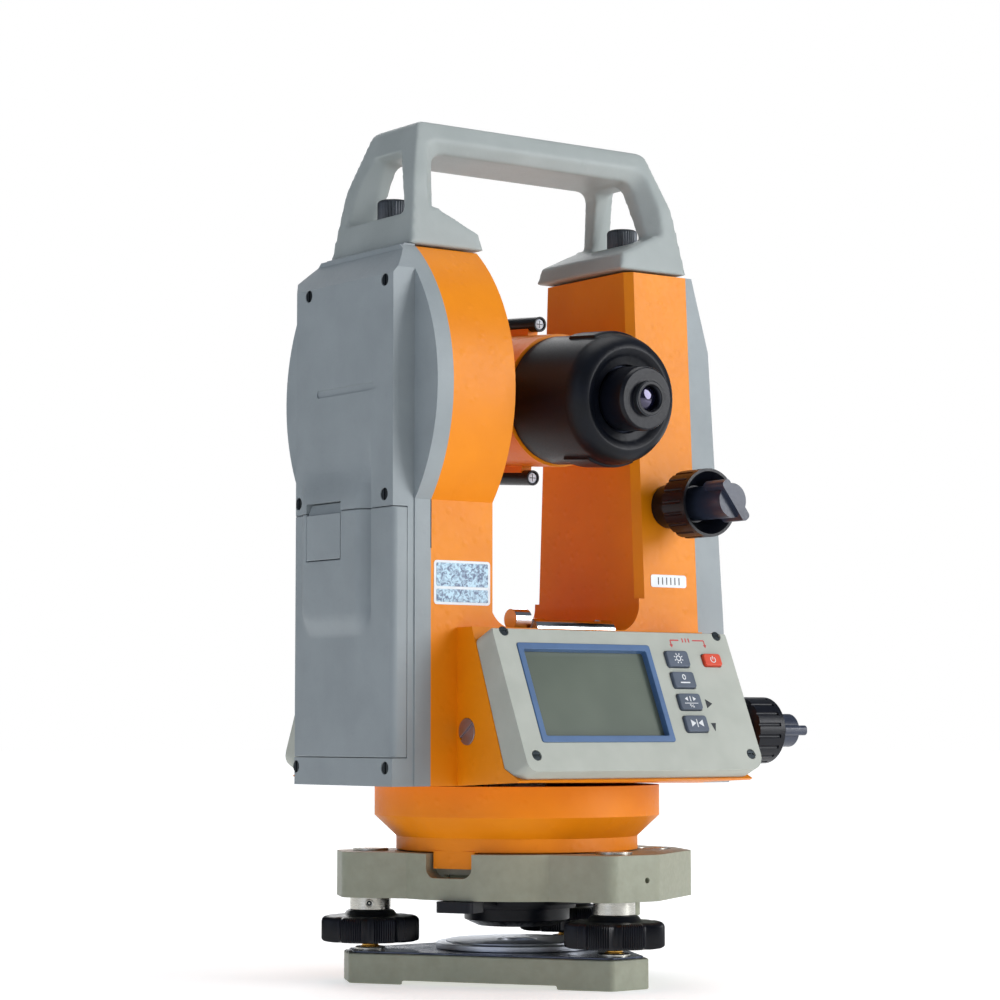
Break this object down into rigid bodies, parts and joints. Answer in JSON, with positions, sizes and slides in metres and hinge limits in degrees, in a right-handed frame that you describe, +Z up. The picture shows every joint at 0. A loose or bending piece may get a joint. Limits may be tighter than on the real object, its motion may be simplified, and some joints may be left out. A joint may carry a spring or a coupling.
{
  "type": "surveying total station",
  "caption": "Surveying total station with a tilting telescope between two standards, keypad panels front and rear, carrying handle, battery and three-screw tribrach.",
  "frame": {"origin": "vertical axis at the underside of the base plate, in the mouth of the tripod thread", "axes": "+Z up along the vertical axis, -Y towards the front keypad and the eyepiece, -X towards the battery side"},
  "size_m": [0.215, 0.175, 0.345],
  "materials": {
    "orange_paint": "satin, fine texture",
    "grey_paint": "satin, fine texture",
    "grey_cover": "satin",
    "keypad_grey": "satin",
    "tribrach_paint": "textured",
    "black_plastic": "moulded",
    "black_anodised": "black anodised",
    "rubber": "moulded",
    "steel": "turned",
    "brass": "turned",
    "grey_anodised": "turned, anodised",
    "black_screw": "black oxide",
    "glass": "coated",
    "level_glass": "clear over green liquid",
    "lcd": "clear window over grey-green display",
    "lcd_blue": "satin",
    "key_grey": "silicone rubber",
    "key_red": "silicone rubber",
    "circuit_board": "solder mask",
    "knob_grey": "knurled, anodised"
  },
  "bodies": {
    "root": {"base_plate": "tribrach_paint", "spring_plate": "black_screw", "tripod_hub": "grey_anodised", "foot_sleeves": "steel", "tribrach_body": "tribrach_paint", "tribrach_bowl": "black_anodised", "circular_level": "steel", "circular_level_glass": "level_glass", "collar_ring": "orange_paint", "axis_bush": "steel", "horizontal_circle": "glass"},
    "foot_screw_1": {"foot_screw_1": "black_plastic"},
    "foot_screw_2": {"foot_screw_2": "black_plastic"},
    "foot_screw_3": {"foot_screw_3": "black_plastic"},
    "lock_lever": {"lock_lever": "black_plastic"},
    "alidade": {"axis_spindle": "steel", "body_frame": "orange_paint", "encoder_readers": "circuit_board", "left_cover": "grey_cover", "right_cover": "grey_cover", "cover_screws": "black_screw", "side_plugs": "brass", "circuit_boards": "circuit_board", "front_panel_cover": "keypad_grey", "rear_panel_cover": "keypad_grey", "panel_screws": "black_screw", "lcd_frames": "lcd_blue", "lcd_glasses": "lcd", "plate_level_tube": "steel", "plate_level_vial": "level_glass", "trunnion_bearings": "steel", "knob_sleeves": "black_anodised"},
    "battery": {"battery": "grey_cover"},
    "battery_latch": {"battery_latch": "grey_cover"},
    "vertical_tangent": {"vertical_tangent_ring": "black_plastic"},
    "vertical_clamp": {"vertical_clamp_cap": "black_plastic"},
    "horizontal_tangent": {"horizontal_tangent_ring": "black_plastic"},
    "horizontal_clamp": {"horizontal_clamp_cap": "black_plastic"},
    "handle": {"handle": "grey_paint"},
    "handle_screw_left": {"handle_screw_left": "knob_grey"},
    "handle_screw_right": {"handle_screw_right": "knob_grey"},
    "telescope": {"telescope_body": "orange_paint", "telescope_barrel": "black_anodised", "trunnion_axles": "steel", "vertical_circle": "glass", "objective_cell": "black_anodised", "lenses": "glass", "sight_tubes": "black_plastic"},
    "focusing_sleeve": {"focusing_sleeve": "rubber"},
    "eyepiece": {"eyepiece": "black_plastic"},
    "front_key_light": {"front_key_light": "key_grey"},
    "front_key_zero": {"front_key_zero": "key_grey"},
    "front_key_angle": {"front_key_angle": "key_grey"},
    "front_key_percent": {"front_key_percent": "key_grey"},
    "front_key_power": {"front_key_power": "key_red"},
    "rear_key_light": {"rear_key_light": "key_grey"},
    "rear_key_zero": {"rear_key_zero": "key_grey"},
    "rear_key_angle": {"rear_key_angle": "key_grey"},
    "rear_key_percent": {"rear_key_percent": "key_grey"},
    "rear_key_power": {"rear_key_power": "key_red"}
  },
  "joints": [
    {"name": "foot_screw_1_turn", "type": "hinge", "parent": "root", "child": "foot_screw_1", "pos_m": [0.00315, -0.06012, 0.0225], "axis": [0, 0, 1], "range_deg": [-1080, 1080]},
    {"name": "foot_screw_2_turn", "type": "hinge", "parent": "root", "child": "foot_screw_2", "pos_m": [-0.05364, 0.02733, 0.0225], "axis": [0, 0, 1], "range_deg": [-1080, 1080]},
    {"name": "foot_screw_3_turn", "type": "hinge", "parent": "root", "child": "foot_screw_3", "pos_m": [0.05049, 0.03279, 0.0225], "axis": [0, 0, 1], "range_deg": [-1080, 1080]},
    {"name": "tribrach_lock", "type": "hinge", "parent": "root", "child": "lock_lever", "pos_m": [0, 0, 0.0326], "axis": [0, 0, 1], "range_deg": [0, 40]},
    {"name": "alidade_turn", "type": "hinge", "parent": "root", "child": "alidade", "pos_m": [0, 0, 0.0795], "axis": [0, 0, 1], "continuous": true},
    {"name": "telescope_tilt", "type": "hinge", "parent": "alidade", "child": "telescope", "pos_m": [0, 0, 0.2369], "axis": [1, 0, 0], "continuous": true},
    {"name": "focus_turn", "type": "hinge", "parent": "telescope", "child": "focusing_sleeve", "pos_m": [0, -0.04985, 0.23298], "axis": [0, 0.9969, 0.0785], "range_deg": [-360, 360]},
    {"name": "eyepiece_turn", "type": "hinge", "parent": "telescope", "child": "eyepiece", "pos_m": [0, -0.07477, 0.23102], "axis": [0, 0.9969, 0.0785], "range_deg": [-180, 180]},
    {"name": "vertical_tangent_turn", "type": "hinge", "parent": "alidade", "child": "vertical_tangent", "pos_m": [0.053, -0.054, 0.1935], "axis": [0, -1, 0], "range_deg": [-1080, 1080]},
    {"name": "vertical_clamp_turn", "type": "hinge", "parent": "alidade", "child": "vertical_clamp", "pos_m": [0.053, -0.07, 0.1935], "axis": [0, -1, 0], "range_deg": [-90, 0]},
    {"name": "horizontal_tangent_turn", "type": "hinge", "parent": "alidade", "child": "horizontal_tangent", "pos_m": [0.101, -0.03, 0.101], "axis": [1, 0, 0], "range_deg": [-1080, 1080]},
    {"name": "horizontal_clamp_turn", "type": "hinge", "parent": "alidade", "child": "horizontal_clamp", "pos_m": [0.118, -0.03, 0.101], "axis": [1, 0, 0], "range_deg": [-90, 0]},
    {"name": "handle_lift", "type": "slide", "parent": "alidade", "child": "handle", "axis": [0, 0, 1], "range_m": [0, 0.04]},
    {"name": "handle_screw_left_turn", "type": "hinge", "parent": "handle", "child": "handle_screw_left", "pos_m": [-0.0618, 0, 0.309], "axis": [0, 0, 1], "range_deg": [-1080, 0]},
    {"name": "handle_screw_right_turn", "type": "hinge", "parent": "handle", "child": "handle_screw_right", "pos_m": [0.0562, 0, 0.309], "axis": [0, 0, 1], "range_deg": [-1080, 0]},
    {"name": "battery_remove", "type": "slide", "parent": "alidade", "child": "battery", "axis": [-1, 0, 0], "range_m": [0, 0.06]},
    {"name": "battery_latch_press", "type": "slide", "parent": "battery", "child": "battery_latch", "axis": [1, 0, 0], "range_m": [0, 0.0015], "stiffness_N_per_m": 1500, "springref_m": -0.0006},
    {"name": "front_key_light_press", "type": "slide", "parent": "alidade", "child": "front_key_light", "axis": [0, 0.9139, -0.4059], "range_m": [0, 0.0008], "stiffness_N_per_m": 600, "springref_m": -0.0004},
    {"name": "front_key_zero_press", "type": "slide", "parent": "alidade", "child": "front_key_zero", "axis": [0, 0.9139, -0.4059], "range_m": [0, 0.0008], "stiffness_N_per_m": 600, "springref_m": -0.0004},
    {"name": "front_key_angle_press", "type": "slide", "parent": "alidade", "child": "front_key_angle", "axis": [0, 0.9139, -0.4059], "range_m": [0, 0.0008], "stiffness_N_per_m": 600, "springref_m": -0.0004},
    {"name": "front_key_percent_press", "type": "slide", "parent": "alidade", "child": "front_key_percent", "axis": [0, 0.9139, -0.4059], "range_m": [0, 0.0008], "stiffness_N_per_m": 600, "springref_m": -0.0004},
    {"name": "front_key_power_press", "type": "slide", "parent": "alidade", "child": "front_key_power", "axis": [0, 0.9139, -0.4059], "range_m": [0, 0.0008], "stiffness_N_per_m": 600, "springref_m": -0.0004},
    {"name": "rear_key_light_press", "type": "slide", "parent": "alidade", "child": "rear_key_light", "axis": [0, -0.9139, -0.4059], "range_m": [0, 0.0008], "stiffness_N_per_m": 600, "springref_m": -0.0004},
    {"name": "rear_key_zero_press", "type": "slide", "parent": "alidade", "child": "rear_key_zero", "axis": [0, -0.9139, -0.4059], "range_m": [0, 0.0008], "stiffness_N_per_m": 600, "springref_m": -0.0004},
    {"name": "rear_key_angle_press", "type": "slide", "parent": "alidade", "child": "rear_key_angle", "axis": [0, -0.9139, -0.4059], "range_m": [0, 0.0008], "stiffness_N_per_m": 600, "springref_m": -0.0004},
    {"name": "rear_key_percent_press", "type": "slide", "parent": "alidade", "child": "rear_key_percent", "axis": [0, -0.9139, -0.4059], "range_m": [0, 0.0008], "stiffness_N_per_m": 600, "springref_m": -0.0004},
    {"name": "rear_key_power_press", "type": "slide", "parent": "alidade", "child": "rear_key_power", "axis": [0, -0.9139, -0.4059], "range_m": [0, 0.0008], "stiffness_N_per_m": 600, "springref_m": -0.0004}
  ]
}
